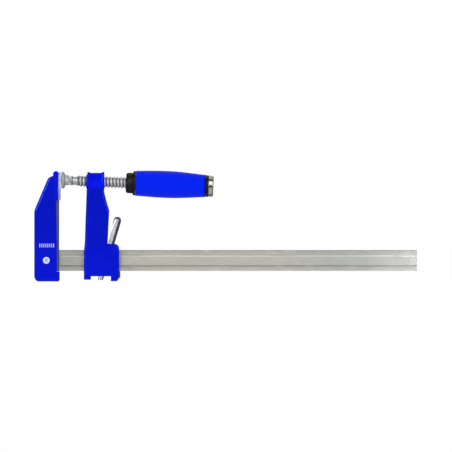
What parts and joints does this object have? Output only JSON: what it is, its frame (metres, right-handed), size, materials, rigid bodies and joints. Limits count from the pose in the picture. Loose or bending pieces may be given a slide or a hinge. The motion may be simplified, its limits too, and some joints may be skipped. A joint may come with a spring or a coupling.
{
  "type": "quick release bar clamp",
  "caption": "One-handed bar clamp: fixed jaw on a flat steel bar, sliding jaw with a plate clutch and release lever, screw spindle with swivel pad and turned grip.",
  "frame": {"origin": "centre of the fixed jaw's clamping face, on the spindle's axis", "axes": "+X along the bar away from the fixed jaw, +Y across the clamp, +Z from the bar up to the spindle"},
  "size_m": [0.3904, 0.0276, 0.1131],
  "materials": {
    "bar_steel": "dull rolled steel, slightly warm grey",
    "jaw_enamel": "glossy baked enamel over pressed sheet",
    "zinc_sheet": "zinc plated sheet",
    "rivet_steel": "bright flattened rivet head",
    "guide_steel": "plain machined steel",
    "clutch_steel": "ground hardened plate",
    "lever_zinc": "bright plated pressing",
    "spring_wire": "drawn wire",
    "ring_black": "blackened spring steel",
    "pad_zinc": "matt tumbled zinc",
    "thread_steel": "rolled thread, zinc plated",
    "nut_steel": "plain tapped steel",
    "black_plastic": "black moulded plastic, fine grain",
    "grip_blue": "blue moulded grip, soft gloss",
    "cap_steel": "polished turned steel"
  },
  "bodies": {
    "frame": {"bar": "bar_steel", "fixed_jaw_shell": "jaw_enamel", "fixed_jaw_liner": "zinc_sheet", "fixed_jaw_rivet": "rivet_steel", "fixed_jaw_pad": "zinc_sheet"},
    "sliding_jaw": {"sliding_jaw_shell": "jaw_enamel", "spindle_nut": "nut_steel", "near_bar_guide": "guide_steel", "far_bar_guide": "guide_steel", "clutch_fulcrum_pin": "guide_steel", "clutch_spring": "spring_wire"},
    "lever": {"release_lever": "lever_zinc"},
    "front_plate": {"clutch_plate_front": "clutch_steel"},
    "rear_plate": {"clutch_plate_rear": "clutch_steel"},
    "feed": {"pad_retaining_ring": "ring_black"},
    "swivel_pad": {"swivel_pad_disc": "pad_zinc", "swivel_pad_socket": "pad_zinc"},
    "screw": {"spindle": "thread_steel", "handle_core": "black_plastic", "handle_grip": "grip_blue", "handle_end_cap": "cap_steel", "handle_pin": "guide_steel"}
  },
  "joints": [
    {"name": "jaw_slide", "type": "slide", "parent": "frame", "child": "sliding_jaw", "axis": [1, 0, 0], "range_m": [0, 0.294]},
    {"name": "spindle_turn", "type": "hinge", "parent": "feed", "child": "screw", "pos_m": [0, 0, 0], "axis": [0.9992, 0, -0.0401], "range_deg": [0, 1400]},
    {"name": "screw_feed", "type": "slide", "parent": "sliding_jaw", "child": "feed", "axis": [0.9992, 0, -0.0401], "range_m": [0, 0.0137]},
    {"name": "pad_tilt", "type": "hinge", "parent": "feed", "child": "swivel_pad", "pos_m": [0.0056, 0, -0.00022], "axis": [0, 1, 0], "range_deg": [-5, 5]},
    {"name": "lever_release", "type": "hinge", "parent": "sliding_jaw", "child": "lever", "pos_m": [0.05101, 0, -0.0686], "axis": [0, -1, 0], "range_deg": [0, 7], "stiffness_Nm_per_rad": 0.7, "springref_deg": -8.59, "deforming": ["clutch_spring"]},
    {"name": "front_plate_tilt", "type": "hinge", "parent": "sliding_jaw", "child": "front_plate", "pos_m": [0.04709, 0, -0.0686], "axis": [0, -1, 0], "range_deg": [0, 7]},
    {"name": "rear_plate_tilt", "type": "hinge", "parent": "sliding_jaw", "child": "rear_plate", "pos_m": [0.04905, 0, -0.0686], "axis": [0, -1, 0], "range_deg": [0, 7]}
  ],
  "couplings": [
    {"joint": "screw_feed", "follows": "spindle_turn", "m_per_rad": 0.00055704},
    {"joint": "front_plate_tilt", "follows": "lever_release", "ratio": 1},
    {"joint": "rear_plate_tilt", "follows": "lever_release", "ratio": 1}
  ]
}
